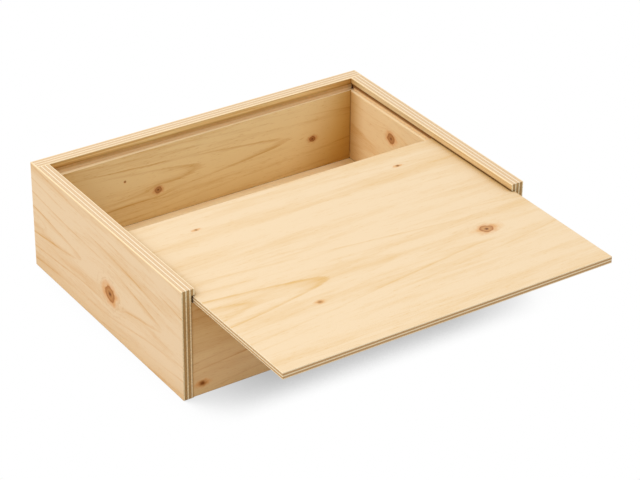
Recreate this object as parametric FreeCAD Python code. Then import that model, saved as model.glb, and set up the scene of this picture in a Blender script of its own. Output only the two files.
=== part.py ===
import FreeCAD, Part

import os

from FreeCAD import Vector

# A shallow plywood box for papers and keepsakes, with a flat lid that slides in grooves round the rim.
# Millimetres.  The origin is the middle of the box's footprint, on the surface that it stands on.
# +X points to the right, +Y to the back and +Z up.  The lid slides out over the front, towards -Y.

# The box, outside, without the lid's overhang
box_width = 330.0
box_depth = 250.0
box_height = 100.0

# The boards
wall_thickness = 12.0  # seven-ply board: sides, back and front
lid_thickness = 6.0  # five-ply board
bottom_thickness = 6.0  # five-ply board

# Grooves and rabbets
housing_depth = 3.0  # how deep each board's edge is let into the walls
rim_height = 6.0  # wood left above the lid's groove
bottom_clearance = 12.0  # from the standing surface up to the bottom board
corner_lip = 1.3  # wood of each side that covers the back board's end: its outer ply

# The lid in its groove
lid_headroom = 0.5  # above the lid
lid_left_play = 1.7  # beside the lid's left edge
lid_right_play = 0.3  # beside the lid's right edge
lid_end_play = 0.5  # behind the lid's back edge when the box is shut
lid_opening = 127.0  # how far the lid is drawn out at rest

# The fixed boards
front_setback = 0.8  # the front board's face, behind the front ends of the sides
front_to_lid = 0.3  # from the front board's top edge up to the lid's underside
bottom_headroom = 0.2  # above the bottom board in its groove
bottom_edge_play = 0.25  # round the bottom board's edges, for the board to swell into

# Edges rubbed round with abrasive paper
wall_arris = 0.6
board_arris = 0.4
cutter_overrun = 5.0  # how far a cutting block runs past the wood

half_width = box_width / 2
front_y = -box_depth / 2
back_y = box_depth / 2

inside_x = half_width - wall_thickness
inside_back_y = back_y - wall_thickness
front_face_y = front_y + front_setback
inside_front_y = front_face_y + wall_thickness
half_back = half_width - corner_lip

# The feet of the grooves, where a board that fitted with no play would end
housed_x = inside_x + housing_depth
housed_back_y = inside_back_y + housing_depth
housed_front_y = inside_front_y - housing_depth

lid_groove_top_z = box_height - rim_height
lid_z = lid_groove_top_z - lid_headroom - lid_thickness
bottom_z = bottom_clearance
bottom_groove_top_z = bottom_z + bottom_thickness + bottom_headroom


def block(x_range, y_range, z_range):
    """A square-edged block that fills the three ranges."""
    (x0, x1), (y0, y1), (z0, z1) = x_range, y_range, z_range
    return Part.makeBox(x1 - x0, y1 - y0, z1 - z0, Vector(x0, y0, z0))


def rub_round(solid, radius, is_rubbed):
    """The solid with a small round on each edge whose middle point is_rubbed accepts."""
    edges = [edge for edge in solid.Edges if is_rubbed(edge.CenterOfMass)]
    return solid.makeFillet(radius, edges)


def lid_groove():
    """The space cut for the lid: along both sides, open at the front, and across the back."""
    return block(
        (-housed_x, housed_x),
        (front_y - cutter_overrun, housed_back_y),
        (lid_z, lid_groove_top_z),
    )


def bottom_groove():
    """The space cut for the bottom board, in all four walls."""
    return block(
        (-housed_x, housed_x),
        (housed_front_y, housed_back_y),
        (bottom_z, bottom_groove_top_z),
    )


def front_rabbets():
    """The space cut for the front board's ends, open at the front and running up into the lid's groove."""
    return block(
        (-housed_x, housed_x),
        (front_y - cutter_overrun, inside_front_y),
        (-cutter_overrun, lid_z),
    )


def carcass():
    """The sides and the back in one, as they are rubbed down after gluing, with every groove cut."""
    outside = block((-half_width, half_width), (front_y, back_y), (0, box_height))
    inside = block(
        (-inside_x, inside_x),
        (front_y - cutter_overrun, inside_back_y),
        (-cutter_overrun, box_height + cutter_overrun),
    )

    def is_rubbed(point):
        wall_middle = wall_thickness / 2
        is_outer = abs(point.x) > half_width - wall_middle or abs(point.y) > back_y - wall_middle
        is_on_rim = point.z > box_height * 3 / 4
        return is_outer or is_on_rim

    shell = rub_round(outside.cut(inside), wall_arris, is_rubbed)
    return shell.cut([lid_groove(), bottom_groove(), front_rabbets()])


def back_space():
    """The space for the back board, between the thin lips at the back ends of the sides."""
    return block((-half_back, half_back), (inside_back_y, back_y), (0, box_height))


def side_panel(x_range):
    """One side: as long as the box is deep, with all but the lip cut away where the back board goes."""
    return carcass().common(block(x_range, (front_y, back_y), (0, box_height))).cut(back_space())


def left_side():
    return side_panel((-half_width, -inside_x))


def right_side():
    return side_panel((inside_x, half_width))


def back_panel():
    """The back: glued over the back ends of the sides, with its own ends behind their lips."""
    return carcass().common(back_space())


def front_panel():
    """The front: let into the rabbets of the sides, and low enough for the lid to slide over it."""
    top_z = lid_z - front_to_lid
    board = block((-housed_x, housed_x), (front_face_y, inside_front_y), (0, top_z))
    middle_y = (front_face_y + inside_front_y) / 2

    def is_rubbed(point):
        runs_across = abs(point.x) < housed_x / 2
        return runs_across and (point.z > top_z / 2 or point.y < middle_y)

    return rub_round(board, board_arris, is_rubbed).cut(bottom_groove())


def bottom_panel():
    """The bottom: a loose panel that stands in its groove all round."""
    board_x = housed_x - bottom_edge_play
    return block(
        (-board_x, board_x),
        (housed_front_y + bottom_edge_play, housed_back_y - bottom_edge_play),
        (bottom_z, bottom_z + bottom_thickness),
    )


def lid():
    """The lid, drawn out by lid_opening: shut, its front edge is level with the front ends of the sides."""
    board = block(
        (-housed_x + lid_left_play, housed_x - lid_right_play),
        (front_y - lid_opening, housed_back_y - lid_end_play - lid_opening),
        (lid_z, lid_z + lid_thickness),
    )
    return rub_round(board, board_arris, lambda point: True)


def main():
    os.makedirs("parts", exist_ok=True)
    for make in (left_side, right_side, back_panel, front_panel, bottom_panel, lid):
        make().exportStep("parts/" + make.__name__ + ".step")


main()
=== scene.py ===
import logging
import math
from dataclasses import dataclass, field
from enum import Enum

import bmesh
import bpy
from mathutils import Euler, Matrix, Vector


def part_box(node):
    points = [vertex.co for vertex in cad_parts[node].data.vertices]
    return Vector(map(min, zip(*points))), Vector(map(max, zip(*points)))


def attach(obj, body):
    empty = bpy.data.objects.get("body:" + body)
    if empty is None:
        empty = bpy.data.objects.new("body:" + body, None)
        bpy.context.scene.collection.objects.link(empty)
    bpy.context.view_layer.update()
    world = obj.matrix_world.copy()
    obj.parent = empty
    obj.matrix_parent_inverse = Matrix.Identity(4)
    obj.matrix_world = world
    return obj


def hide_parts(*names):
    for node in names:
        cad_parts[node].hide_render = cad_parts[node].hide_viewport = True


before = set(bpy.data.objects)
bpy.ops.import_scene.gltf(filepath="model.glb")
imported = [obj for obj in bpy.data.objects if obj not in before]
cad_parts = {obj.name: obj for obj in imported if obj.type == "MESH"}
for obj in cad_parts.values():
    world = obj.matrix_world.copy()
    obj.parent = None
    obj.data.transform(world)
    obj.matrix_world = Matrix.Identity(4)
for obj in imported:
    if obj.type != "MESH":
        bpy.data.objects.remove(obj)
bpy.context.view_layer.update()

# The looks of a plywood box with a sliding lid: the pine of its boards, the light and the camera.
# Objects are in metres: +X right, +Y back, +Z up, with the origin in the middle of the box's footprint.
# Sizes that belong to the wood, such as plies, growth rings and knots, are in millimetres.

log = logging.getLogger("sliding_lid_box")

PER_METRE = 1000.0  # millimetres in a metre
TOUCHING = 1e-5  # metres apart that still count as the same place
FLAT_WITHIN = math.radians(0.5)  # faces that turn less than this are one flat face

Socket = bpy.types.NodeSocket
Value = float | tuple[float, ...] | Socket | None
Colour = tuple[float, float, float, float]
Ramp = tuple[float, float, float, float]  # where a Map Range starts and ends, and its value at each

# Settings that Mix and Map Range nodes share
COLOURS = {"data_type": "RGBA"}  # mixes two colours
TINT = {"data_type": "RGBA", "blend_type": "MULTIPLY"}  # tints the first colour with the second
SOFTLY = {"interpolation_type": "SMOOTHSTEP"}  # eases in and out


# ---------------------------------------------------------------------------------------------------------
# Colour and node helpers


def linear(hex_colour: str) -> Colour:
    """Turns an sRGB hex colour into the linear colour that a shader wants.

    Args:
        hex_colour: six hex digits, such as "F5DBB4".

    Returns:
        Linear red, green and blue, and an alpha of 1.
    """
    channels = [int(hex_colour[i : i + 2], 16) / 255 for i in (0, 2, 4)]
    curve = [c / 12.92 if c <= 0.04045 else ((c + 0.055) / 1.055) ** 2.4 for c in channels]
    return (*curve, 1.0)


def greys(levels: dict[float, float]) -> dict[float, Colour]:
    """Gives the stops of a colour ramp that stands for a number, from its levels by position."""
    return {position: (level, level, level, 1.0) for position, level in levels.items()}


@dataclass
class Nodes:
    """A material's node tree, with one way to add to it."""

    tree: bpy.types.NodeTree

    def add(
        self,
        kind: str,
        *inputs: Value,
        named: dict[str, Value] | None = None,
        stops: dict[float, Colour] | None = None,
        output: int | str = 0,
        **settings: object,
    ) -> Socket | None:
        """Adds a node with its settings and links.

        Args:
            kind: the node's type without "ShaderNode", and after a colon its operation if it has one.
            inputs: the inputs in use, in order: a value, another node's output, or None for the default.
            named: inputs by their names.
            stops: for a colour ramp, its colours by position, in rising order.
            output: the wanted output: its name, or its number among those in use.
            settings: the node's other properties.

        Returns:
            The output socket, or None for a material's last node.
        """
        kind, _, operation = kind.partition(":")
        node = self.tree.nodes.new("ShaderNode" + kind)
        if operation:
            node.operation = operation
        for name, setting in settings.items():
            setattr(node, name, setting)
        if stops:
            elements = node.color_ramp.elements
            elements.remove(elements[1])
            for index, (position, colour) in enumerate(stops.items()):
                stop = elements.new(position) if index else elements[0]
                stop.position, stop.color = position, colour
        wanted = list(zip([socket for socket in node.inputs if socket.enabled], inputs))
        wanted += [(node.inputs[name], value) for name, value in (named or {}).items()]
        for socket, value in wanted:
            if isinstance(value, Socket):
                self.tree.links.new(value, socket)
            elif value is not None:
                socket.default_value = value
        if isinstance(output, str):
            return node.outputs[output]
        made = [socket for socket in node.outputs if socket.enabled]
        return made[output] if made else None

    def stretched(self, x: Value, y: Value, z: Value, *sizes: float) -> Socket:
        """Gives a point for a noise whose grains are longer one way than another.

        Args:
            x, y, z: the point's coordinates.
            sizes: the grain's length along each coordinate, and 1 where none is given.

        Returns:
            The point, divided by the sizes.
        """
        point = self.add("CombineXYZ", x, y, z)
        return self.add("VectorMath:DIVIDE", point, (*sizes, *(1.0,) * (3 - len(sizes))))


def new_material(name: str) -> tuple[bpy.types.Material, Nodes]:
    """Makes an empty node material.

    Args:
        name: what the material is.

    Returns:
        The material and its nodes.
    """
    material = bpy.data.materials.new(name)
    material.use_nodes = True
    material.node_tree.nodes.clear()
    return material, Nodes(material.node_tree)


# ---------------------------------------------------------------------------------------------------------
# Pine: the chance patterns of its grain


@dataclass(frozen=True)
class Place:
    """Where a point is in a board, in mm.

    Attributes:
        along: on the row axis that the grain follows.
        across: on the row axis that the board's width follows.
        depth: inside the board's low face.
    """

    along: Socket
    across: Socket
    depth: Socket


@dataclass(frozen=True)
class Cloud:
    """A layer of chance in the wood: soft patches, longer along the grain than across it.

    Attributes:
        chance: sets the layer apart from the others of its face.
        length, width: of a patch, in mm.
        detail: how many times finer patches lie inside it.
        roughness: how plainly those show.
    """

    chance: float
    length: float
    width: float
    detail: float = 2.0
    roughness: float = 0.5

    def draw(self, nodes: Nodes, along: Socket, across: Socket, seed: float = 0.0) -> Socket:
        """Draws the layer.

        Args:
            nodes: the material's nodes.
            along: mm along the grain.
            across: mm across the grain.
            seed: sets the face apart from other faces.

        Returns:
            The layer, from 0 to 1 and mostly near EVEN.
        """
        point = nodes.stretched(along, across, seed + self.chance, self.length, self.width)
        return nodes.add("TexNoise", point, 1.0, self.detail, self.roughness)


EVEN = 0.5  # where a cloud is neither pale nor dark

# Real fibres are about 0.05 mm wide and resin ducts 0.2 mm.  Both are too fine to show, so they are drawn in
# bundles of about 1 mm.
STRAY = Cloud(chance=0.0, length=170.0, width=60.0, roughness=0.45)  # the grain's own wandering
BAND = Cloud(chance=3.0, length=260.0, width=13.0, detail=3.0)  # long cloudy bands
MOTTLE = Cloud(chance=5.0, length=38.0, width=9.0)  # what a low light brings out in a sanded face
FIBRE = Cloud(chance=7.0, length=34.0, width=1.1, detail=3.0, roughness=0.6)
FEATHER = Cloud(chance=11.0, length=26.0, width=1.4, roughness=0.6)  # the ragged edge of a ring's line
DUCT = Cloud(chance=17.0, length=7.0, width=0.8, roughness=0.6)  # short brown ticks of resin
RIM_STREAKS = Cloud(chance=13.0, length=90.0, width=1.3)  # streaks in the painted shade on a rim
CUTTER = Cloud(chance=4.0, length=45.0, width=0.9)  # streaks that a cutter leaves in a groove

# How much denser these make the wood, for 1 between early and late wood
MOTTLE_STRENGTH = 0.45
FIBRE_STRENGTH = 0.6
FIBRE_LEVEL = 0.44  # under EVEN, so that on the whole the fibres darken the wood a little
DUCT_SHOWS: Ramp = (0.58, 0.76, 0.0, 0.45)

# How dark the wood is through one year's growth, from spring to autumn
SEASONS = {0.0: 0.4, 0.1: 0.14, 0.3: 0.0, 0.55: 0.06, 0.76: 0.42, 0.88: 1.0, 0.95: 0.9, 1.0: 0.4}
WEATHER_TURNS = 0.41  # how fast good years and poor ones take turns, in each ring
WEATHER_APART = 3.7  # puts the weather of each face elsewhere
WEATHER_PER_MM = 0.05  # rings that weather moves a line by, for each mm from the middle line
WEATHER_LIMIT = 2.2  # rings that it moves a line by at most
RAGGED = 0.16  # rings that the edge of a line is ragged by
STRONG_YEARS = 1.7  # the higher, the fewer years stand out
YEAR_SHOWS: Ramp = (0.0, 1.0, 0.1, 1.0)  # how plainly, from the faintest year to the strongest
YEARS_APART = 7.3  # puts the fading of each year's line elsewhere
LINE_STRETCH = 75.0  # mm along the grain in which a line fades and comes back
LINE_SHOWS: Ramp = (0.36, 0.62, 0.25, 1.25)  # how plainly, where it has faded and where it has come back
CALM_FROM, CALM_FULL = 25.0, 110.0  # mm from the middle line at which the lines start to calm and are calm
CALM_CONTRAST = 0.4  # the share of the contrast that is left where they are calm


# ---------------------------------------------------------------------------------------------------------
# Pine: what marks its faces


class KnotKind(Enum):
    """How a knot looks: a branch cut across, with a rim and rings of its own, or a small soft brown speck."""

    RINGED = "ringed"
    PIN = "pin"


# How the grain flows round a knot, with distances in radii of the knot
FLOW_LENGTH = 1.9  # how far the bend reaches along the grain, for 1 across it
FLOW_PUSH = 2.2  # how strongly the grain is pushed aside
FLOW_SOFTNESS = 0.9  # how gently the push sets in
FLOW_LIMIT = 0.93  # the largest push, as a share of the way to the knot's middle

# Colours of a knot in live wood and in dead wood, and of what lies round it
KNOT_BODY = ("D4A06A", "9C5A10")
KNOT_BARK = ("B47446", "7C4416")
KNOT_PITH = "683216"
PIN_PITH = "5A3210"
KNOT_STAIN = "EDBE84"
PIN_STAIN = "E8AC68"
KNOT_HALO = "E2A66C"
KNOT_LOOP = "CFA468"

# Where a knot's parts start and are full, in radii from its middle, and how strongly they show
UNEVEN = 0.5  # from the innermost to the outermost that its outline strays from a true oval
UNEVEN_WIDTH = 0.8  # of a bump in that outline, for 1 along the grain
STAIN_WIDTH = 1.5  # how far the resin reaches across the grain
STAIN_UNEVEN, HALO_UNEVEN, LOOP_UNEVEN = 1.6, 1.8, 1.5  # how much more they stray than the outline does
STAIN_SHOWS: Ramp = (1.1, 0.25, 0.0, 0.8)
SPECK_SHOWS: Ramp = (1.25, 0.1, 0.0, 1.0)
PIN_PITH_FROM = 0.6
PIN_PITH_PALE, PIN_PITH_DARKER = 0.1, 0.6  # how strong it is in live wood, and how much more in dead wood
DISC_SHOWS: Ramp = (1.08, 0.86, 0.0, 1.0)
BARK_FROM, BARK_FULL = 0.66, 0.92
BRANCH_YEARS = 21.0  # the turn of the branch's own rings, in radians for each radius
BRANCH_YEARS_SHOW: Ramp = (0.0, 1.0, 0.0, 0.35)
PITH_SHOWS: Ramp = (0.42, 0.08, 0.0, 0.85)
HALO_SHOWS: Ramp = (1.75, 0.95, 0.0, 0.6)
LOOP_TURN = 7.5  # the turn of the loops round the knot, in radians for each radius
LOOP_FROM = 0.2
LOOPS_REACH: Ramp = (3.6, 1.2, 0.0, 1.0)
LOOPS_BROKEN: Ramp = (0.4, 0.55, 0.1, 1.3)


@dataclass(frozen=True)
class Knot:
    """A branch that the veneer was cut through, in a stain of resin.

    Attributes:
        along, across: its middle on the board, in mm, on the row axes that grain and width follow.
        radius: of the disc, in mm.
        kind: ringed or pin.
        stretch: how much longer it is along the grain than across it.
        darkness: of the disc, from 0 for the pale brown of live wood to 1 for dead wood.
        stain: how far the resin reaches along the grain, in radii.
        loops: how plainly the grain shows that closes round it.
        bark: how plainly the ring of bark shows.
    """

    along: float
    across: float
    radius: float
    kind: KnotKind = KnotKind.RINGED
    stretch: float = 1.15
    darkness: float = 0.0
    stain: float = 2.8
    loops: float = 0.12
    bark: float = 0.9

    def offset(self, nodes: Nodes, place: Place) -> tuple[Socket, Socket]:
        """Gives how far the place is from the knot's middle.

        Args:
            nodes: the material's nodes.
            place: the place in the board.

        Returns:
            mm along the grain and mm across it.
        """
        x = nodes.add("Math:SUBTRACT", place.along, self.along)
        y = nodes.add("Math:SUBTRACT", place.across, self.across)
        return x, y

    def bend(self, nodes: Nodes, place: Place, bent: Socket) -> Socket:
        """Leads the grain round the knot, as water flows round a post.

        Args:
            nodes: the material's nodes.
            place: the place in the board.
            bent: mm across the grain, as the rings see it without the knot.

        Returns:
            mm across the grain, as the rings see it with the knot.
        """
        x, y = self.offset(nodes, place)
        away = nodes.stretched(x, y, 0.0, FLOW_LENGTH * self.radius, self.radius)
        away = nodes.add("VectorMath:DOT_PRODUCT", away, away)
        share = nodes.add("Math:DIVIDE", FLOW_PUSH, nodes.add("Math:ADD", away, FLOW_SOFTNESS))
        share = nodes.add("Math:MINIMUM", share, FLOW_LIMIT)
        return nodes.add("Math:SUBTRACT", bent, nodes.add("Math:MULTIPLY", y, share))

    def paint(self, nodes: Nodes, place: Place, seed: float, colour: Socket) -> Socket:
        """Paints the knot.

        Args:
            nodes: the material's nodes.
            place: the place in the board.
            seed: the face's own.
            colour: the wood's colour without the knot.

        Returns:
            The wood's colour with it.
        """
        x, y = self.offset(nodes, place)
        uneven = Cloud(self.along, self.radius, self.radius * UNEVEN_WIDTH).draw(nodes, x, y, seed)
        uneven = nodes.add("Math:MULTIPLY_ADD", uneven, UNEVEN, -UNEVEN * EVEN)
        away = nodes.stretched(x, y, 0.0, self.radius * self.stretch, self.radius)
        away = nodes.add("Math:ADD", nodes.add("VectorMath:LENGTH", away), uneven)
        reach = nodes.stretched(x, y, 0.0, self.radius * self.stain, self.radius * STAIN_WIDTH)
        reach = nodes.add("Math:MULTIPLY_ADD", uneven, STAIN_UNEVEN, nodes.add("VectorMath:LENGTH", reach))
        stain = nodes.add("MapRange", reach, *STAIN_SHOWS, **SOFTLY)
        body = nodes.add("Mix", self.darkness, *map(linear, KNOT_BODY), **COLOURS)
        if self.kind is KnotKind.PIN:
            layers = [(stain, linear(PIN_STAIN)), *self.pin_layers(nodes, away, body)]
        else:
            broken = Cloud(0.0, self.radius, self.radius).draw(nodes, x, y, seed)
            layers = [
                (stain, linear(KNOT_STAIN)),
                (self.loops_round(nodes, away, uneven, broken), linear(KNOT_LOOP)),
                *self.ringed_layers(nodes, away, uneven, body),
            ]
        for amount, shade in layers:
            colour = nodes.add("Mix", amount, colour, shade, **COLOURS)
        return colour

    def pin_layers(self, nodes: Nodes, away: Socket, body: Socket) -> list[tuple[Socket, Value]]:
        """Gives the speck of a pin knot and its dark heart.

        Args:
            nodes: the material's nodes.
            away: radii from the knot's middle.
            body: the speck's colour.

        Returns:
            How strongly each layer shows, and its colour.
        """
        pith = PIN_PITH_PALE + PIN_PITH_DARKER * self.darkness
        return [
            (nodes.add("MapRange", away, *SPECK_SHOWS, **SOFTLY), body),
            (nodes.add("MapRange", away, PIN_PITH_FROM, 0.0, 0.0, pith), linear(PIN_PITH)),
        ]

    def ringed_layers(
        self, nodes: Nodes, away: Socket, uneven: Socket, body: Socket
    ) -> list[tuple[Socket, Value]]:
        """Gives the halo of a ringed knot, its disc, the branch's own rings, its bark and its pith.

        Args:
            nodes: the material's nodes.
            away: radii from the knot's middle.
            uneven: how far the outline strays there, in radii.
            body: the disc's colour.

        Returns:
            How strongly each layer shows, and its colour.
        """
        bark = nodes.add("Mix", self.darkness, *map(linear, KNOT_BARK), **COLOURS)
        halo = nodes.add("Math:MULTIPLY_ADD", uneven, HALO_UNEVEN, away)
        disc = nodes.add("MapRange", away, *DISC_SHOWS, **SOFTLY)
        years = nodes.add("Math:SINE", nodes.add("Math:MULTIPLY", away, BRANCH_YEARS))
        years = nodes.add("MapRange", years, *BRANCH_YEARS_SHOW)
        rim = nodes.add("MapRange", away, BARK_FROM, BARK_FULL, 0.0, self.bark, **SOFTLY)
        return [
            (nodes.add("MapRange", halo, *HALO_SHOWS), linear(KNOT_HALO)),
            (disc, body),
            (nodes.add("Math:MULTIPLY", years, disc), bark),
            (nodes.add("Math:MULTIPLY", rim, disc), bark),
            (nodes.add("MapRange", away, *PITH_SHOWS, **SOFTLY), linear(KNOT_PITH)),
        ]

    def loops_round(self, nodes: Nodes, away: Socket, uneven: Socket, broken: Socket) -> Socket:
        """Draws the grain that closes round the branch, in a few faint loops.

        Args:
            nodes: the material's nodes.
            away: radii from the knot's middle.
            uneven: how far the outline strays there, in radii.
            broken: the cloud that breaks the loops up.

        Returns:
            How strongly the loops show.
        """
        loops = nodes.add("Math:MULTIPLY_ADD", uneven, LOOP_UNEVEN, away)
        loops = nodes.add("Math:SINE", nodes.add("Math:MULTIPLY", loops, LOOP_TURN))
        loops = nodes.add("MapRange", loops, LOOP_FROM, 1.0, 0.0, self.loops)
        loops = nodes.add("Math:MULTIPLY", loops, nodes.add("MapRange", away, *LOOPS_REACH))
        return nodes.add("Math:MULTIPLY", loops, nodes.add("MapRange", broken, *LOOPS_BROKEN))


@dataclass(frozen=True)
class ShadeGradient:
    """Painted shade that darkens a veneer towards one end or one edge.

    Attributes:
        start: where it starts, in mm on the row axis that it follows.
        full: where it is full.
        amount: how much of its colour it has there.
        across: whether it comes in across the grain instead of along it.
        lean: how far its border leans along the grain in each mm across it, in mm.
        tint: sRGB hex of what it does to the wood.
    """

    start: float
    full: float
    amount: float = 0.8
    across: bool = False
    lean: float = 0.0
    tint: str = "D6BE86"

    def paint(self, nodes: Nodes, place: Place, colour: Socket) -> Socket:
        """Paints the shade.

        Args:
            nodes: the material's nodes.
            place: the place in the board.
            colour: the wood's colour without it.

        Returns:
            The wood's colour with it.
        """
        where = place.across
        if not self.across:
            where = nodes.add("Math:MULTIPLY_ADD", place.across, -self.lean, place.along)
        share = nodes.add("MapRange", where, self.start, self.full, 0.0, self.amount, **SOFTLY)
        return nodes.add("Mix", share, colour, linear(self.tint), **TINT)


@dataclass(frozen=True)
class RimShade:
    """Painted shade on the rim of a wall: streaked along the grain, lighter and darker by height, and darkest
    along its lower edge.

    Attributes:
        foot: mm across the grain to the rim's lower edge.
        height: of the rim, in mm.
        margin: mm under the foot that still count as the rim.
        streaked: where its cloud turns from one tint of the streaks to the other.
        streaks: sRGB hex of the two tints of its painted shade, which streak it.
        foot_shade: sRGB hex of the painted shade along its lower edge.
        foot_shade_until: the share of the height that the foot's painted shade covers.
        shade_by_height: how light the rest of the painted shade is, by share of the height.
    """

    foot: float = 94.0
    height: float = 6.0
    margin: float = 0.5
    streaked: Ramp = (0.38, 0.62, 0.0, 1.0)
    streaks: tuple[str, str] = ("EDD4B2", "FFF8E6")
    foot_shade: str = "D2C6AA"
    foot_shade_until: float = 0.1
    shade_by_height: tuple[tuple[float, float], ...] = ((0.24, 0.9), (0.5, 1.0), (0.72, 0.9), (0.9, 0.85), (1.0, 0.95))

    def paint(self, nodes: Nodes, place: Place, seed: float, colour: Socket) -> Socket:
        """Paints shade on the rim.

        Args:
            nodes: the material's nodes.
            place: the place in the board.
            seed: the face's own.
            colour: the wood's colour without it.

        Returns:
            The colour with the rim's painted shade.
        """
        # Painted shade on the rim: streaked, lighter or darker by height, darkest along its lower edge.
        streak = RIM_STREAKS.draw(nodes, place.along, place.across, seed)
        streak = nodes.add("MapRange", streak, *self.streaked)
        streak = nodes.add("Mix", streak, *map(linear, self.streaks), **COLOURS)
        height = nodes.add("MapRange", place.across, self.foot, self.foot + self.height)
        rim_shade = {self.foot_shade_until: linear(self.foot_shade), **greys(dict(self.shade_by_height))}
        rim_shade = nodes.add("ValToRGB", height, stops=rim_shade)
        tint = nodes.add("Mix", 1.0, streak, rim_shade, **TINT)
        is_rim = nodes.add("Math:GREATER_THAN", place.across, self.foot - self.margin)
        return nodes.add("Mix", is_rim, colour, tint, **TINT)


@dataclass(frozen=True)
class Veneer:
    """A face of pine, cut nearly flat: growth rings that show as tongues nested round a middle line.

    Attributes:
        seed: sets this face's chance patterns apart.
        early, late: sRGB hex of the pale early wood and of the golden line that ends each ring.
        middle: where the middle line is across the board, in mm.
        slope: how the middle line leans.
        bluntness: how round the tips of the tongues are, in mm.
        taper: how much a tongue narrows in each mm along the grain; positive ones point to the high end.
        spacing: between rings, in mm.
        start: moves the tongues along the grain, in rings.
        wander: how far the rings stray from true, in mm.
        contrast: how strongly the ring lines show.
        bands: how strongly the broad cloudy bands show.
        knots: the knots in this face.
        shade_gradients: the painted shade towards an end or an edge of this face.
        rim: the painted shade on its rim, if it has one.
    """

    seed: float
    early: str = "F6E0BC"
    late: str = "DDAE73"
    middle: float = 50.0
    slope: float = 0.0
    bluntness: float = 12.0
    taper: float = 0.06
    spacing: float = 7.0
    start: float = 0.0
    wander: float = 4.0
    contrast: float = 0.6
    bands: float = 0.9
    knots: tuple[Knot, ...] = ()
    shade_gradients: tuple[ShadeGradient, ...] = ()
    rim: RimShade | None = None

    def draw(self, nodes: Nodes, place: Place) -> tuple[Socket, Socket]:
        """Draws the face.

        Args:
            nodes: the material's nodes.
            place: the place in the board.

        Returns:
            Its colour, and how dense the wood is there, from 0 to 1.
        """
        bent = self.bend(nodes, place)
        density = self.rings(nodes, place.along, bent)
        for cloud, level, strength in (
            (BAND, EVEN, self.bands),
            (MOTTLE, EVEN, MOTTLE_STRENGTH),
            (FIBRE, FIBRE_LEVEL, FIBRE_STRENGTH),
        ):
            swing = nodes.add("Math:SUBTRACT", cloud.draw(nodes, place.along, bent, self.seed), level)
            density = nodes.add("Math:MULTIPLY_ADD", swing, strength, density)
        duct = nodes.add("MapRange", DUCT.draw(nodes, place.along, bent, self.seed), *DUCT_SHOWS)
        density = nodes.add("Math:ADD", density, duct, use_clamp=True)
        colour = nodes.add("Mix", density, linear(self.early), linear(self.late), **COLOURS)
        for knot in self.knots:
            colour = knot.paint(nodes, place, self.seed, colour)
        # Painted shade: towards an end or an edge, and on the rim
        for gradient in self.shade_gradients:
            colour = gradient.paint(nodes, place, colour)
        if self.rim:
            colour = self.rim.paint(nodes, place, self.seed, colour)
        return colour, density

    def bend(self, nodes: Nodes, place: Place) -> Socket:
        """Lets the grain stray a little, and leads it round the knots.

        Args:
            nodes: the material's nodes.
            place: the place in the board.

        Returns:
            mm across the grain, as the rings see it.
        """
        # The cloud swings by up to a half either way, so twice the wander is its full swing.
        stray = nodes.add("Math:SUBTRACT", STRAY.draw(nodes, place.along, place.across, self.seed), EVEN)
        bent = nodes.add("Math:MULTIPLY_ADD", stray, 2 * self.wander, place.across)
        for knot in self.knots:
            bent = knot.bend(nodes, place, bent)
        return bent

    def rings(self, nodes: Nodes, along: Socket, bent: Socket) -> Socket:
        """Draws the lines where one year's growth ends, some plain to see and most of them faint.

        Args:
            nodes: the material's nodes.
            along: mm along the grain.
            bent: mm across the grain, as the rings see it.

        Returns:
            How much of the late wood shows, from 0 to 1.
        """
        off = nodes.add("Math:SUBTRACT", bent, nodes.add("Math:MULTIPLY_ADD", along, self.slope, self.middle))
        to_side = nodes.add("Math:ABSOLUTE", off)
        count = self.count_rings(nodes, along, bent, off)
        year = nodes.add("Math:FLOOR", count)
        line = nodes.add("ValToRGB", nodes.add("Math:FRACT", count), stops=greys(SEASONS))
        vigour = nodes.add("TexWhiteNoise", nodes.add("Math:ADD", year, self.seed), noise_dimensions="1D")
        vigour = nodes.add("MapRange", nodes.add("Math:POWER", vigour, STRONG_YEARS), *YEAR_SHOWS)
        fade = nodes.stretched(along, nodes.add("Math:MULTIPLY", year, YEARS_APART), self.seed, LINE_STRETCH)
        fade = nodes.add("MapRange", nodes.add("TexNoise", fade, 1.0, 1.0), *LINE_SHOWS)
        line = nodes.add("Math:MULTIPLY", line, nodes.add("Math:MULTIPLY", vigour, fade))
        # Far from the middle line the veneer was cut across the rings, and they show less.
        least = self.contrast * CALM_CONTRAST
        calm = nodes.add("MapRange", to_side, CALM_FROM, CALM_FULL, self.contrast, least)
        return nodes.add("Math:MULTIPLY", line, calm)

    def count_rings(self, nodes: Nodes, along: Socket, bent: Socket, off: Socket) -> Socket:
        """Counts the rings outwards from the middle line, good years and poor ones.

        Args:
            nodes: the material's nodes.
            along: mm along the grain.
            bent: mm across the grain, as the rings see it.
            off: mm across the grain from the middle line.

        Returns:
            The count, whole where a year ends.
        """
        girth = nodes.add("Math:SQRT", nodes.add("Math:MULTIPLY_ADD", off, off, self.bluntness**2))
        girth = nodes.add("Math:MULTIPLY_ADD", along, self.taper, girth)
        count = nodes.add("Math:MULTIPLY_ADD", girth, 1 / self.spacing, self.start)
        weather = nodes.add("Math:MULTIPLY_ADD", count, WEATHER_TURNS, self.seed * WEATHER_APART)
        weather = nodes.add("TexNoise", weather, 1.0, 1.0, noise_dimensions="1D")
        spread = nodes.add("Math:MULTIPLY", nodes.add("Math:ABSOLUTE", off), WEATHER_PER_MM)
        spread = nodes.add("Math:MINIMUM", spread, WEATHER_LIMIT)
        count = nodes.add("Math:MULTIPLY_ADD", nodes.add("Math:SUBTRACT", weather, EVEN), spread, count)
        feather = nodes.add("Math:SUBTRACT", FEATHER.draw(nodes, along, bent, self.seed), EVEN)
        return nodes.add("Math:MULTIPLY_ADD", feather, RAGGED, count)


# ---------------------------------------------------------------------------------------------------------
# Pine plywood


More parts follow.
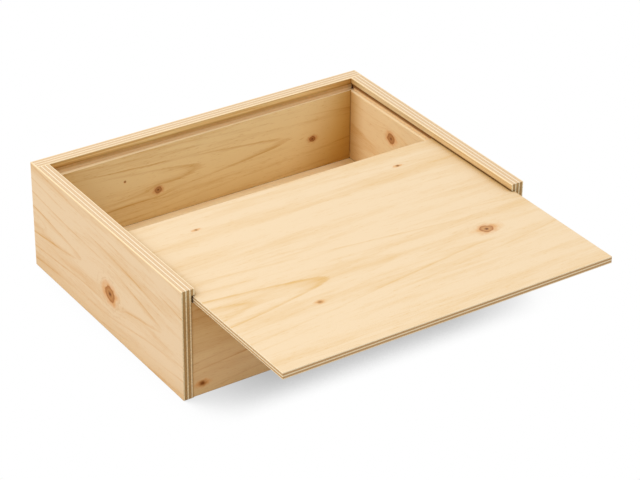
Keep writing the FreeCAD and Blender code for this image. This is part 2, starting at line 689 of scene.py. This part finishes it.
class Lay(Enum):
    """How a board lies: the row axes, as numbers, that its grain, its width and its thickness follow."""

    FLAT = (0, 1, 2)
    ACROSS_THE_BOX = (0, 2, 1)
    ALONG_THE_BOX = (1, 2, 0)


@dataclass(frozen=True)
class Cut:
    """What a cut through the plies shows, in sRGB hex.

    Attributes:
        long_ply: the plies whose grain runs with the faces'.
        cross_ply: the plies between them, whose grain runs across.
        glue: the lines between the plies.
    """

    long_ply: str
    cross_ply: str
    glue: str


@dataclass(frozen=True)
class Stock:
    """Plywood as it is bought.

    Attributes:
        plies: the thickness of each ply in mm, from face to face; every second one runs across the grain.
        side_cut: the edges and grooves that run with the faces' grain.
        end_cut: the edges that run across it, sawn through the fibres.
        blur: mm over which one ply turns into the next.
    """

    plies: tuple[float, ...]
    side_cut: Cut
    end_cut: Cut
    blur: float = 0.14

    @property
    def thickness(self) -> float:
        """The board's thickness in mm."""
        return sum(self.plies)

    def buried(self, nodes: Nodes, place: Place) -> Socket:
        """Gives how far the place is inside the nearer face, in mm."""
        return nodes.add("Math:MINIMUM", place.depth, nodes.add("Math:SUBTRACT", self.thickness, place.depth))

    def stripes(self, nodes: Nodes, place: Place, cut: Cut) -> Socket:
        """Draws the stripes of the plies across a cut edge.

        Args:
            nodes: the material's nodes.
            place: the place in the board.
            cut: what the plies look like there.

        Returns:
            The stripes' colour.
        """
        stops: dict[float, Colour] = {}
        reached = 0.0
        for index, ply in enumerate(self.plies):
            shade = linear(cut.cross_ply if index % 2 else cut.long_ply)
            stops[(reached + self.blur) / self.thickness] = shade
            reached += ply
            stops[(reached - self.blur) / self.thickness] = shade
            if index < len(self.plies) - 1:
                stops[reached / self.thickness] = linear(cut.glue)
        return nodes.add("ValToRGB", nodes.add("Math:DIVIDE", place.depth, self.thickness), stops=stops)


WALL_STOCK = Stock(
    plies=(1.3, 2.27, 1.3, 2.26, 1.3, 2.27, 1.3),
    side_cut=Cut(long_ply="FFECCE", cross_ply="E8C79C", glue="D0A16E"),
    end_cut=Cut(long_ply="F6EBCA", cross_ply="B69768", glue="8C6C46"),
)
THIN_STOCK = Stock(
    plies=(0.95, 1.45, 1.2, 1.45, 0.95),
    side_cut=Cut(long_ply="FFF4D8", cross_ply="CCAC82", glue="A07A4C"),
    end_cut=Cut(long_ply="FFF6DC", cross_ply="D0AE80", glue="AE885A"),
)

# Cosines at which a surface starts to face one way and fully faces it
FACING = (0.5, 0.8)
FACE_FACING = (0.45, 0.8)
FACING_UP: Ramp = (0.1, 0.4, 0.0, 1.0)

# Grains of a board, in mm along the grain, across it and through the plies
FELT_FIBRE = (20.0, 0.9, 0.9)  # as coarse as it needs to be to catch the light
PORE = (3.5, 1.7, 0.7)  # what a saw opens in a cut, in bundles
PORES_SHOW = (0.35, 1.2)  # on a cut along the faces' grain and on one across it
RING_RELIEF = 0.3  # how proud the late wood stands, for 1 on the fibres

# The scale, detail and roughness of the noises that draw the felt fibres and the pores
FELT_NOISE = (1.0, 3.0, 0.6)
PORE_NOISE = (1.0, 3.0, 0.7)

# Rays that look for open air: few where the shade is soft, and more where it has an edge
SOFT_RAYS = 8
SHADOW_RAYS = 16
SHARP_RAYS = 24

# Colours of painted shade in joints (which are also a little dark of themselves), narrow gaps, under the rim
# and at the groove's stopped ends, and of painted light on the ledge and a painted highlight on its lip and
# the rim's arrises
JOINT_SHADE = "7E5024"
GAP_SHADE = "1C0C04"
UNDER_RIM_SHADE = "8A6840"
GROOVE_END_SHADE = "7A5634"
LEDGE_PAINTED_LIGHT = "FADCAC"
PAINTED_HIGHLIGHT = "FFE4B6"


@dataclass(frozen=True)
class PinePlywood:
    """Pine-faced plywood, sanded and left bare: matt and pale gold, with striped edges.

    Light sinks into the open grain, so it has next to no gloss.  The lid's groove has painted shade, its
    ledge painted light and its lip a painted highlight.

    Attributes:
        name: the material's name.
        lay: how the board lies.
        stock: what it is sawn from.
        low_face: the veneer at the low end of the thickness axis.
        high_face: the veneer of the other face.
        groove_shade: sRGB hex of the two tints of the painted shade in the lid's groove, which streak it.
        shade_under_rim: how much darker the painted shade makes the groove under the rim.
        corner_shade_reach: how far from a joint or a corner the painted shade reaches, in metres.
        corner_shade_tint: sRGB hex of the painted shade's tint.
            corner_shade_from, corner_shade_full: the shares of open air at which the painted shade starts and
                is full.
        joint_reach: how wide the dark line along a joint is, in metres; it is partly the joint's own dark and
            partly painted shade where parts lie close, such as beside the lid.
        joint_shows: how dark that line is, by the share of open air.
        floor_joint: how strongly that line shows, by height in metres: least at the floor.
        gap_reach: how wide the gaps are that get a nearly black painted shade, in metres.
        gap_shows: how dark that painted shade is, by the share of open air.
        roughness: of the wood between the fibres and of the fibres.
        gloss: how much the wood shines, for 0.5 on plain varnish.
        relief_depth: how deep the fibres can be felt, in metres.
        relief: how much of that depth shows.
    """

    name: str
    lay: Lay
    stock: Stock
    low_face: Veneer
    high_face: Veneer
    groove_shade: tuple[str, str] = ("F0E0BC", "FFFCE6")
    shade_under_rim: float = 0.15
    corner_shade_reach: float = 0.03
    corner_shade_tint: str = "F2E8D4"
    corner_shade_from: float = 0.9
    corner_shade_full: float = 0.4
    joint_reach: float = 0.0015
    joint_shows: Ramp = (0.95, 0.55, 0.0, 0.55)
    floor_joint: Ramp = (0.022, 0.026, 0.1, 1.0)
    gap_reach: float = 0.004
    gap_shows: Ramp = (0.42, 0.2, 0.0, 0.96)
    roughness: tuple[float, float] = (0.66, 0.54)
    gloss: float = 0.2
    relief_depth: float = 0.0001
    relief: float = 0.12

    def build(self, low_corner: Vector, high_corner: Vector, ledge: float | None) -> bpy.types.Material:
        """Makes the material.

        Args:
            low_corner, high_corner: the board's lowest and highest corners, in metres.
            ledge: mm across the grain up to the ledge that the lid slides on, or None where there is none.

        Returns:
            The finished material.
        """
        material, nodes = new_material(self.name)
        place = self.place(nodes, low_corner)
        low_colour, low_density = self.low_face.draw(nodes, place)
        high_colour, high_density = self.high_face.draw(nodes, place)
        is_high = nodes.add("Math:GREATER_THAN", place.depth, self.stock.thickness / 2)
        face_colour = nodes.add("Mix", is_high, low_colour, high_colour, **COLOURS)
        face_colour = self.darken_corners(nodes, face_colour)
        density = nodes.add("Mix", is_high, low_density, high_density, data_type="FLOAT")
        edge_colour = self.edge(nodes, place)
        # Painted shade in the lid's groove, and painted light on its ledge
        if ledge:
            ends = [corner[self.lay.value[0]] * PER_METRE for corner in (low_corner, high_corner)]
            edge_colour = LidGroove(ledge).paint_shade_and_light(nodes, place, self, ends, edge_colour)
        colour = nodes.add("Mix", self.face_mask(nodes, place), edge_colour, face_colour, **COLOURS)
        # Painted highlight on the ledge's lip and on the rim's arrises
        if ledge:
            painted_light = LidGroove(ledge).highlight_mask(nodes, place, self.stock)
            colour = nodes.add("Mix", painted_light, colour, linear(PAINTED_HIGHLIGHT), **COLOURS)
        self.finish(nodes, place, density, self.darken_gaps(nodes, colour))
        return material

    def finish(self, nodes: Nodes, place: Place, density: Socket, colour: Socket) -> None:
        """Gives the sanded surface its gloss and its feel, and ends the material.

        Args:
            nodes: the material's nodes.
            place: the place in the board.
            density: how dense the wood is.
            colour: the wood's colour.
        """
        # Sanding leaves the hard late wood a hair proud and the fibres just felt.
        fibres = nodes.stretched(place.along, place.across, place.depth, *FELT_FIBRE)
        fibres = nodes.add("TexNoise", fibres, *FELT_NOISE)
        height = nodes.add("Math:MULTIPLY_ADD", density, RING_RELIEF, fibres)
        bump = {"Strength": self.relief, "Distance": self.relief_depth, "Height": height}
        shader = nodes.add(
            "BsdfPrincipled",
            named={
                "Base Color": colour,
                "Roughness": nodes.add("MapRange", fibres, 0.0, 1.0, *self.roughness),
                "Specular IOR Level": self.gloss,
                "Normal": nodes.add("Bump", named=bump),
            },
        )
        nodes.add("OutputMaterial", shader)

    def darken_corners(self, nodes: Nodes, colour: Socket) -> Socket:
        """Paints shade on a face a little towards the corners, and a thin dark line along each joint: partly
        the joint's own dark, partly painted shade where parts lie close.

        Args:
            nodes: the material's nodes.
            colour: the face's colour.

        Returns:
            The colour with its corners darkened.
        """
        # Painted shade, deepest where little open air reaches: in corners and beside the rims.
        open_air = nodes.add("AmbientOcclusion", None, self.corner_shade_reach, output="AO", samples=SOFT_RAYS)
        painted_shade = nodes.add("MapRange", open_air, self.corner_shade_from, self.corner_shade_full)
        colour = nodes.add("Mix", painted_shade, colour, linear(self.corner_shade_tint), **TINT)
        # A thin dark line along each joint: partly the joint's own dark, partly painted shade where parts lie
        # close.
        beside = nodes.add("AmbientOcclusion", None, self.joint_reach, output="AO", samples=SOFT_RAYS)
        line = nodes.add("MapRange", beside, *self.joint_shows)
        height = nodes.add("SeparateXYZ", nodes.add("TexCoord", output="Object"), output="Z")
        line = nodes.add("Math:MULTIPLY", line, nodes.add("MapRange", height, *self.floor_joint))
        return nodes.add("Mix", line, colour, linear(JOINT_SHADE), **COLOURS)

    def darken_gaps(self, nodes: Nodes, colour: Socket) -> Socket:
        """Paints a nearly black shade on what lies deep in a narrow gap, beside the lid and between the
        boards.

        Args:
            nodes: the material's nodes.
            colour: the wood's colour in the open.

        Returns:
            The colour with its gaps darkened.
        """
        open_air = nodes.add("AmbientOcclusion", None, self.gap_reach, output="AO", samples=SHARP_RAYS)
        deep = nodes.add("MapRange", open_air, *self.gap_shows)
        return nodes.add("Mix", deep, colour, linear(GAP_SHADE), **COLOURS)

    def place(self, nodes: Nodes, low_corner: Vector) -> Place:
        """Gives where a point is in the board.

        Args:
            nodes: the material's nodes.
            low_corner: the board's lowest corner, in metres.

        Returns:
            The point's place.
        """
        here = nodes.add("TexCoord", output="Object")
        here = nodes.add("VectorMath:MULTIPLY", here, (PER_METRE,) * 3)
        row = [nodes.add("SeparateXYZ", here, output=axis) for axis in self.lay.value]
        depth = nodes.add("Math:SUBTRACT", row[2], low_corner[self.lay.value[2]] * PER_METRE)
        return Place(row[0], row[1], depth)

    def turned(self, nodes: Nodes, axis: int, start: float, end: float) -> Socket:
        """Tells how squarely the surface faces along one of the board's own axes.

        Args:
            nodes: the material's nodes.
            axis: 0 for the grain, 1 for the width, 2 for the thickness.
            start: the cosine that counts as not facing it.
            end: the cosine that counts as facing it.

        Returns:
            0 to 1.
        """
        facing = [0.0, 0.0, 0.0]
        facing[self.lay.value[axis]] = 1.0
        cosine = nodes.add("VectorMath:DOT_PRODUCT", nodes.add("TexCoord", output="Normal"), tuple(facing))
        return nodes.add("MapRange", nodes.add("Math:ABSOLUTE", cosine), start, end)

    def is_end(self, nodes: Nodes) -> Socket:
        """Tells the cuts across the faces' grain, 1, from the other surfaces, 0."""
        return self.turned(nodes, 0, *FACING)

    def edge(self, nodes: Nodes, place: Place) -> Socket:
        """Draws the plies where the board is cut: pale ones, darker cross plies and thin glue lines.

        Args:
            nodes: the material's nodes.
            place: the place in the board.

        Returns:
            The edge's colour.
        """
        side = self.stock.stripes(nodes, place, self.stock.side_cut)
        end = self.stock.stripes(nodes, place, self.stock.end_cut)
        is_end = self.is_end(nodes)
        # Cut fibres leave open pores, most of them where the saw went through the faces' grain.
        pores = nodes.stretched(place.along, place.across, place.depth, *PORE)
        pores = nodes.add("Math:SUBTRACT", nodes.add("TexNoise", pores, *PORE_NOISE), EVEN)
        strength = nodes.add("MapRange", is_end, 0.0, 1.0, *PORES_SHOW)
        shade = nodes.add("Math:MULTIPLY_ADD", pores, strength, 1.0)
        return nodes.add("VectorMath:SCALE", nodes.add("Mix", is_end, side, end, **COLOURS), shade)

    def face_mask(self, nodes: Nodes, place: Place) -> Socket:
        """Tells the two faces from the edges and the walls of grooves.

        Args:
            nodes: the material's nodes.
            place: the place in the board.

        Returns:
            1 on a face, 0 on an edge or in a groove.
        """
        turned = self.turned(nodes, 2, *FACE_FACING)
        half = self.stock.thickness / 2
        to_middle = nodes.add("Math:ABSOLUTE", nodes.add("Math:SUBTRACT", place.depth, half))
        is_outer = nodes.add("Math:GREATER_THAN", to_middle, half - self.stock.plies[0])
        return nodes.add("Math:MULTIPLY", turned, is_outer)


@dataclass(frozen=True)
class LidGroove:
    """The groove that the lid slides in: painted shade at its foot and under the rim, and painted light on
    its ledge.

    Heights are in mm above the ledge, and depths in mm inside the nearer face of the wall.

    Attributes:
        ledge: mm across the grain up to the ledge that the lid slides on.
        middle, half_height: of the band that counts as the groove, with a little of the wood round it.
        unshaded_end: mm at each of the board's own ends that get no painted shade or light.
        shade_by_depth: how strong the painted shade is, by depth.
        streaked: how the cutter's streaks show.
        under_rim: the heights at which the painted shade under the rim starts and is full.
        painted_light: how strongly the painted light shows on the ledge and the lowest part of the foot, by
            height.
        lip_middle, lip_half_height: of the rounded lip, which lies under the ledge.
        arris: how strongly the painted highlight shows on the rim's arrises, by depth.
        rim_top: the heights between which the top of the rim starts.
    """

    ledge: float
    middle: float = 3.2
    half_height: float = 3.7
    unshaded_end: float = 1.0
    shade_by_depth: Ramp = (2.2, 2.95, 0.0, 1.0)
    streaked: Ramp = (0.35, 0.65, 0.0, 1.0)
    under_rim: tuple[float, float] = (1.0, 4.5)
    painted_light: Ramp = (2.3, 1.1, 0.0, 0.9)
    lip_middle: float = -0.735
    lip_half_height: float = 0.715
    arris: Ramp = (0.7, 1.1, 0.8, 0.0)
    rim_top: tuple[float, float] = (11.7, 12.0)

    def paint_shade_and_light(
        self, nodes: Nodes, place: Place, plywood: PinePlywood, ends: list[float], colour: Socket
    ) -> Socket:
        """Paints shade into the groove, streaked like a cutter's marks, and paints light onto the ledge.

        Args:
            nodes: the material's nodes.
            place: the place in the board.
            plywood: the board's finish.
            ends: mm along the grain to each of the board's own ends, which get no painted shade or light.
            colour: what a cut shows in the open.

        Returns:
            The colour with the groove soiled.
        """
        rise = nodes.add("Math:SUBTRACT", place.across, self.ledge)
        inside = nodes.add("Math:ABSOLUTE", nodes.add("Math:SUBTRACT", rise, self.middle))
        inside = nodes.add("Math:LESS_THAN", inside, self.half_height)
        past_low_end = nodes.add("Math:GREATER_THAN", place.along, ends[0] + self.unshaded_end)
        inside = nodes.add("Math:MULTIPLY", inside, past_low_end)
        short_of_high_end = nodes.add("Math:LESS_THAN", place.along, ends[1] - self.unshaded_end)
        inside = nodes.add("Math:MULTIPLY", inside, short_of_high_end)
        stopped_end = plywood.is_end(nodes)
        # Painted shade, streaked like a cutter's marks: deepest at the foot, darker under the rim and at the
        # stopped ends.
        buried = nodes.add("MapRange", plywood.stock.buried(nodes, place), *self.shade_by_depth)
        shaded = nodes.add("Math:MULTIPLY", inside, nodes.add("Math:MAXIMUM", buried, stopped_end))
        streak = nodes.add("MapRange", CUTTER.draw(nodes, place.along, place.across), *self.streaked)
        groove_shade = nodes.add("Mix", streak, *map(linear, plywood.groove_shade), **COLOURS)
        under_rim = nodes.add("MapRange", rise, *self.under_rim, 0.0, plywood.shade_under_rim)
        groove_shade = nodes.add("Mix", under_rim, groove_shade, linear(UNDER_RIM_SHADE), **TINT)
        groove_shade = nodes.add("Mix", stopped_end, groove_shade, linear(GROOVE_END_SHADE), **COLOURS)
        colour = nodes.add("Mix", shaded, colour, groove_shade, **TINT)
        # Painted light on the ledge and the lowest part of the foot.
        runs_here = nodes.add("Math:SUBTRACT", inside, stopped_end, use_clamp=True)
        painted_light = nodes.add("Math:MULTIPLY", nodes.add("MapRange", rise, *self.painted_light), runs_here)
        return nodes.add("Mix", painted_light, colour, linear(LEDGE_PAINTED_LIGHT), **COLOURS)

    def highlight_mask(self, nodes: Nodes, place: Place, stock: Stock) -> Socket:
        """Finds where a highlight is painted: on the ledge's lip, and on the arrises of the rim.

        Args:
            nodes: the material's nodes.
            place: the place in the board.
            stock: what the board is sawn from.

        Returns:
            How strongly the painted highlight shows there, from 0 to 1.
        """
        lip = nodes.add("Math:SUBTRACT", place.across, self.ledge + self.lip_middle)
        lip = nodes.add("Math:LESS_THAN", nodes.add("Math:ABSOLUTE", lip), self.lip_half_height)
        faces_up = nodes.add("SeparateXYZ", nodes.add("TexCoord", output="Normal"), output="Z")
        lip = nodes.add("Math:MULTIPLY", lip, nodes.add("MapRange", faces_up, *FACING_UP))
        arris = nodes.add("MapRange", stock.buried(nodes, place), *self.arris)
        top = nodes.add("MapRange", place.across, *(self.ledge + height for height in self.rim_top))
        return nodes.add("Math:MAXIMUM", lip, nodes.add("Math:MULTIPLY", arris, top))


# ---------------------------------------------------------------------------------------------------------
# The boards' finishes: each has its own grain and knots

LEFT_SIDE = PinePlywood(
    "pine_plywood_left_side",
    Lay.ALONG_THE_BOX,
    WALL_STOCK,
    low_face=Veneer(
        seed=11.985,
        early="F5E1C3",
        late="DDAE68",
        middle=46.5,
        bluntness=9.0,
        taper=-0.09,
        spacing=6.0,
        start=0.05,
        wander=3.0,
        bands=1.5,
        knots=(Knot(-8.8, 38.8, 7.2, stretch=1.1, darkness=0.2, stain=2.3, loops=0.3, bark=0.75),),
    ),
    high_face=Veneer(seed=12.0, middle=60.0, taper=0.05, knots=(Knot(60.0, 70.0, 3.0, KnotKind.PIN),)),
)

RIGHT_SIDE = PinePlywood(
    "pine_plywood_right_side",
    Lay.ALONG_THE_BOX,
    WALL_STOCK,
    low_face=Veneer(
        seed=21.83,
        early="F6DAAC",
        late="DBA75C",
        middle=45.0,
        bluntness=20.0,
        taper=-0.06,
        spacing=8.0,
        knots=(Knot(48.6, 66.1, 4.9, darkness=0.42, stain=2.4, bark=0.55),),
        shade_gradients=(ShadeGradient(88.0, 120.0),),
        rim=RimShade(streaks=("ECE7DA", "FFFFFF"), foot_shade="8C7040"),
    ),
    high_face=Veneer(
        seed=22.0, middle=55.0, taper=0.07, knots=(Knot(-60.0, 30.0, 5.0), Knot(70.0, 62.0, 2.5))
    ),
    groove_shade=("C0A07A", "DCC4A0"),
    shade_under_rim=0.75,
)

BACK_PANEL = PinePlywood(
    "pine_plywood_back",
    Lay.ACROSS_THE_BOX,
    WALL_STOCK,
    low_face=Veneer(
        seed=31.354,
        early="FDE3AE",
        late="D9A757",
        middle=55.5,
        bluntness=10.0,
        taper=0.065,
        spacing=6.1,
        start=0.38,
        wander=2.0,
        bands=1.5,
        knots=(
            Knot(-81.9, 61.8, 1.2, KnotKind.PIN, darkness=1.0, stain=1.5),
            Knot(-49.2, 44.3, 3.1, darkness=0.35, stain=2.7, bark=0.35),
            Knot(111.6, 49.3, 2.9, darkness=0.55, stain=2.9, bark=0.3),
        ),
        shade_gradients=(
            ShadeGradient(66.0, 135.0, 1.0, lean=0.4),
            ShadeGradient(-85.0, -150.0, 0.5),
            ShadeGradient(75.0, 20.0, 0.2, across=True),
        ),
        rim=RimShade(),
    ),
    high_face=Veneer(
        seed=32.0, middle=40.0, taper=-0.06, knots=(Knot(-70.0, 62.0, 5.0), Knot(95.0, 30.0, 3.0))
    ),
)

FRONT_PANEL = PinePlywood(
    "pine_plywood_front",
    Lay.ACROSS_THE_BOX,
    WALL_STOCK,
    low_face=Veneer(
        seed=41.0,
        early="F2DBB0",
        late="CE9C60",
        middle=62.0,
        slope=0.08,
        taper=0.05,
        spacing=8.0,
        knots=(
            Knot(-147.2, 10.4, 3.0, KnotKind.PIN, stretch=1.4, darkness=0.9, stain=3.4),
            Knot(60.0, 55.0, 4.5),
        ),
        shade_gradients=(ShadeGradient(10.0, 75.0, 0.4, across=True),),
    ),
    high_face=Veneer(seed=42.0, middle=35.0, taper=-0.05, knots=(Knot(20.0, 50.0, 4.0),)),
)

BOTTOM_PANEL = PinePlywood(
    "pine_plywood_bottom",
    Lay.FLAT,
    THIN_STOCK,
    low_face=Veneer(
        seed=51.0, middle=20.0, bluntness=15.0, knots=(Knot(80.0, -40.0, 5.0), Knot(-90.0, 60.0, 3.0))
    ),
    high_face=Veneer(
        seed=52.0,
        early="FCE3B6",
        late="E6B672",
        middle=-20.0,
        bluntness=15.0,
        contrast=0.4,
        knots=(Knot(-60.0, -50.0, 4.0),),
        shade_gradients=(ShadeGradient(110.0, 165.0),),
    ),
    corner_shade_tint="FFFFFF",
)

LID_BOARD = PinePlywood(
    "pine_plywood_lid",
    Lay.FLAT,
    THIN_STOCK,
    low_face=Veneer(
        seed=61.0,
        middle=-120.0,
        bluntness=15.0,
        taper=-0.06,
        knots=(Knot(-40.0, -90.0, 4.5), Knot(90.0, -180.0, 3.0)),
    ),
    high_face=Veneer(
        seed=62.497,
        early="F7DDB7",
        late="E8BD7A",
        middle=-158.0,
        bluntness=14.0,
        taper=0.114,
        spacing=7.5,
        start=0.9,
        wander=3.0,
        bands=1.5,
        knots=(
            Knot(98.3, -163.2, 5.2, stain=3.6),
            Knot(99.3, -36.9, 1.9, KnotKind.PIN, darkness=0.8, stain=3.5),
            Knot(-100.6, -38.9, 1.6, KnotKind.PIN, darkness=0.5, stain=4.0),
            Knot(-77.2, -184.6, 2.4, KnotKind.PIN, darkness=0.3, stain=2.6),
        ),
    ),
    corner_shade_tint="D6C49A",
    corner_shade_from=0.93,
    corner_shade_full=0.6,
)


# ---------------------------------------------------------------------------------------------------------
# The box and its lid


def is_at(value: float, place: float) -> bool:
    """Tells whether a coordinate is at a place, in metres."""
    return abs(value - place) < TOUCHING


def new_object(name: str, shape: bmesh.types.BMesh) -> bpy.types.Object:
    """Turns a shape into an object of the scene, and frees the shape.

    Args:
        name: the object's name.
        shape: its shape.

    Returns:
        The object.
    """
    mesh = bpy.data.meshes.new(name)
    shape.to_mesh(mesh)
    shape.free()
    made = bpy.data.objects.new(name, mesh)
    bpy.context.scene.collection.objects.link(made)
    return made


def dress(board: bpy.types.Object, node: str, plywood: PinePlywood, ledge: float | None = None) -> None:
    """Gives a board its plywood.

    Args:
        board: the CAD board or the piece that stands for it.
        node: the CAD board's name.
        plywood: its finish.
        ledge: mm across the grain up to the ledge that the lid slides on, if the board has one.
    """
    low_corner, high_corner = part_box(node)
    board.data.materials.clear()
    board.data.materials.append(plywood.build(low_corner, high_corner, ledge))
    size = (high_corner - low_corner) * PER_METRE
    log.info("%s: %.1f x %.1f x %.1f mm, in %s", board.name, *size, plywood.name)


@dataclass
class Carcass:
    """The four walls and the bottom.

    Attributes:
        body: what they ride on.
        slot: a name for the walls' finish in the record, which is not used.
        lip_radius: how round the edge is rubbed that the lid slides over, in metres.
        lip_segments: the facets of that round.
        walls: the grooved walls' finishes, by node.
        boards: the other boards' finishes, by node.
    """

    body: str = "box"
    slot: str = "wall_board"
    lip_radius: float = 0.0014
    lip_segments: int = 3
    walls: dict[str, PinePlywood] = field(
        default_factory=lambda: {"left_side": LEFT_SIDE, "right_side": RIGHT_SIDE, "back_panel": BACK_PANEL}
    )
    boards: dict[str, PinePlywood] = field(
        default_factory=lambda: {"front_panel": FRONT_PANEL, "bottom_panel": BOTTOM_PANEL}
    )

    def build(self) -> None:
        """Builds the walls and dresses the other boards."""
        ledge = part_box("lid")[0].z
        for node, plywood in self.walls.items():
            wall = self.build_wall(node, plywood.lay, ledge)
            dress(wall, node, plywood, ledge * PER_METRE)
        for node, plywood in self.boards.items():
            dress(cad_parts[node], node, plywood)

    def build_wall(self, node: str, lay: Lay, ledge: float) -> bpy.types.Object:
        """Builds a wall from its CAD board, with the lip of its groove rubbed round so that the lid runs in.

        Args:
            node: the CAD board.
            lay: how the board lies.
            ledge: the height of the ledge that the lid slides on, in metres.

        Returns:
            The wall.
        """
        shape = bmesh.new()
        shape.from_mesh(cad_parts[node].data)
        bmesh.ops.remove_doubles(shape, verts=shape.verts, dist=TOUCHING)
        bmesh.ops.dissolve_limit(shape, angle_limit=FLAT_WITHIN, verts=shape.verts, edges=shape.edges)
        thickness_axis = lay.value[2]
        inner_face = min((corner[thickness_axis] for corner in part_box(node)), key=abs)
        lips = [
            edge
            for edge in shape.edges
            if all(is_at(end.co.z, ledge) and is_at(end.co[thickness_axis], inner_face) for end in edge.verts)
        ]
        bmesh.ops.bevel(
            shape,
            geom=lips,
            offset=self.lip_radius,
            offset_type="OFFSET",
            segments=self.lip_segments,
            profile=0.5,
            affect="EDGES",
            material=-1,
        )
        wall = new_object(f"{node}_wall", shape)
        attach(wall, self.body)
        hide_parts(node)
        return wall


@dataclass
class Lid:
    """The board that slides.

    Attributes:
        node: the CAD board.
        plywood: its finish.
    """

    node: str = "lid"
    plywood: PinePlywood = LID_BOARD

    def build(self) -> None:
        """Dresses the lid."""
        dress(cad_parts[self.node], self.node, self.plywood)


# ---------------------------------------------------------------------------------------------------------
# The studio


@dataclass
class Studio:
    """A white table under a large soft lamp, with the camera.

    Lengths are in metres, angles in degrees and colours in sRGB hex.

    Attributes:
        table_half_width: from the table's middle to its edge.
        table_gap: between the table and the box, so that the two never share a plane.
        table_bounce: the warm light that the table throws back up at the wood.
        shadow_reach: how far from the box its shadow is felt.
        shadow_side: where the box stands, seen from the shadow.
        shadow_depth: how dark the shadow is, by the share of open air on that side.
        shadow_fades: how much of it shows, by the distance to either side of the middle.
        white: what the camera sees of the table and of the sky.
        sky_level: how strong the even light from all round is.
        lamp_place: where the lamp hangs.
        lamp_aim: what it points at.
        lamp_width: of the lamp.
        lamp_watts: its power.
        camera_place: where the camera stands.
        camera_azimuth: how far it is turned from looking along +Y.
        camera_elevation: how far it looks down.
        camera_roll: how far it leans to its side.
        camera_lens: its focal length, in mm.
        camera_range: the nearest and the farthest that it sees.
    """

    table_half_width: float = 6.0
    table_gap: float = 0.0001
    table_bounce: str = "D0B48C"
    shadow_reach: float = 0.056
    shadow_side: tuple[float, float, float] = (-0.4, 0.87, 0.28)
    shadow_depth: Ramp = (0.4, 0.88, 0.5, 0.0)
    shadow_fades: Ramp = (0.07, 0.175, 1.1, 0.4)
    white: str = "FFFFFF"
    sky_level: float = 0.76
    lamp_place: tuple[float, float, float] = (-1.75, 0.1, 2.4)
    lamp_aim: tuple[float, float, float] = (0.0, -0.05, 0.05)
    lamp_width: float = 2.0
    lamp_watts: float = 33.0
    camera_place: tuple[float, float, float] = (-0.913856, -1.434989, 1.022986)
    camera_azimuth: float = -33.768
    camera_elevation: float = 30.173
    camera_roll: float = 0.621
    camera_lens: float = 130.071
    camera_range: tuple[float, float] = (0.05, 50.0)

    def build(self) -> None:
        """Builds the studio."""
        self.build_table()
        self.build_sky()
        self.build_lamp()
        self.build_camera()
        bpy.context.scene.view_settings.view_transform = "Standard"

    def build_table(self) -> None:
        """Builds the table that the box stands on."""
        shape = bmesh.new()
        bmesh.ops.create_grid(shape, x_segments=1, y_segments=1, size=self.table_half_width)
        bmesh.ops.translate(shape, verts=shape.verts, vec=(0.0, 0.0, -self.table_gap))
        table = new_object("table", shape)
        table.data.materials.append(self.white_table())
        log.info("table: %.1f m square", 2 * self.table_half_width)

    def white_table(self) -> bpy.types.Material:
        """Makes matt white card, which the camera sees as plain white but for a painted soft shadow before
        the box.

        Returns:
            The material.
        """
        material, nodes = new_material("white_table")
        plain = nodes.add("BsdfDiffuse", linear(self.table_bounce))
        side = nodes.add("CombineXYZ", *self.shadow_side)
        lit = nodes.add("AmbientOcclusion", None, self.shadow_reach, side, output="AO", samples=SHADOW_RAYS)
        shade = nodes.add("MapRange", lit, *self.shadow_depth, **SOFTLY)
        # The painted shadow is deepest in the middle and thins out towards the box's corners.
        beside = nodes.add("SeparateXYZ", nodes.add("TexCoord", output="Object"), output="X")
        beside = nodes.add("Math:ABSOLUTE", beside)
        shade = nodes.add("Math:MULTIPLY", shade, nodes.add("MapRange", beside, *self.shadow_fades, **SOFTLY))
        level = nodes.add("Math:SUBTRACT", 1.0, shade)
        white = nodes.add("Emission", linear(self.white), level)
        seen = nodes.add("LightPath", output="Is Camera Ray")
        nodes.add("OutputMaterial", nodes.add("MixShader", seen, plain, white))
        return material

    def build_sky(self) -> None:
        """Builds white card all round: even light with no direction, seen by the camera as plain white."""
        world = bpy.data.worlds.new("studio_sky")
        bpy.context.scene.world = world
        world.use_nodes = True
        world.node_tree.nodes.clear()
        nodes = Nodes(world.node_tree)
        seen = nodes.add("LightPath", output="Is Camera Ray")
        level = nodes.add("MapRange", seen, 0.0, 1.0, self.sky_level, 1.0)
        nodes.add("OutputWorld", nodes.add("Background", linear(self.white), level))
        log.info("sky: level %.2f", self.sky_level)

    def build_lamp(self) -> None:
        """Builds one large soft lamp, above and to the left."""
        data = bpy.data.lights.new("soft_box", "AREA")
        data.shape = "SQUARE"
        data.size = self.lamp_width
        data.energy = self.lamp_watts
        lamp = bpy.data.objects.new("soft_box", data)
        bpy.context.scene.collection.objects.link(lamp)
        lamp.location = self.lamp_place
        lamp.rotation_euler = (Vector(self.lamp_aim) - lamp.location).to_track_quat("-Z", "Y").to_euler()
        log.info("lamp: %.1f m square, %.0f W", self.lamp_width, self.lamp_watts)

    def build_camera(self) -> None:
        """Builds the camera, a metre above the table and turned to the box's front left corner."""
        data = bpy.data.cameras.new("camera")
        data.lens = self.camera_lens
        data.clip_start, data.clip_end = self.camera_range
        camera = bpy.data.objects.new("camera", data)
        bpy.context.scene.collection.objects.link(camera)
        looking = Euler((math.radians(90 - self.camera_elevation), 0.0, math.radians(self.camera_azimuth)))
        roll = Euler((0.0, 0.0, math.radians(self.camera_roll)))
        camera.rotation_euler = (looking.to_matrix() @ roll.to_matrix()).to_euler()
        camera.location = self.camera_place
        bpy.context.scene.camera = camera
        log.info("camera: %.0f mm lens, %.1f degrees down", self.camera_lens, self.camera_elevation)


def main() -> None:
    """Builds the box's looks and the studio."""
    logging.basicConfig(level=logging.INFO, format="%(name)s: %(message)s")
    Carcass().build()
    Lid().build()
    Studio().build()


if __name__ == "__main__":
    main()
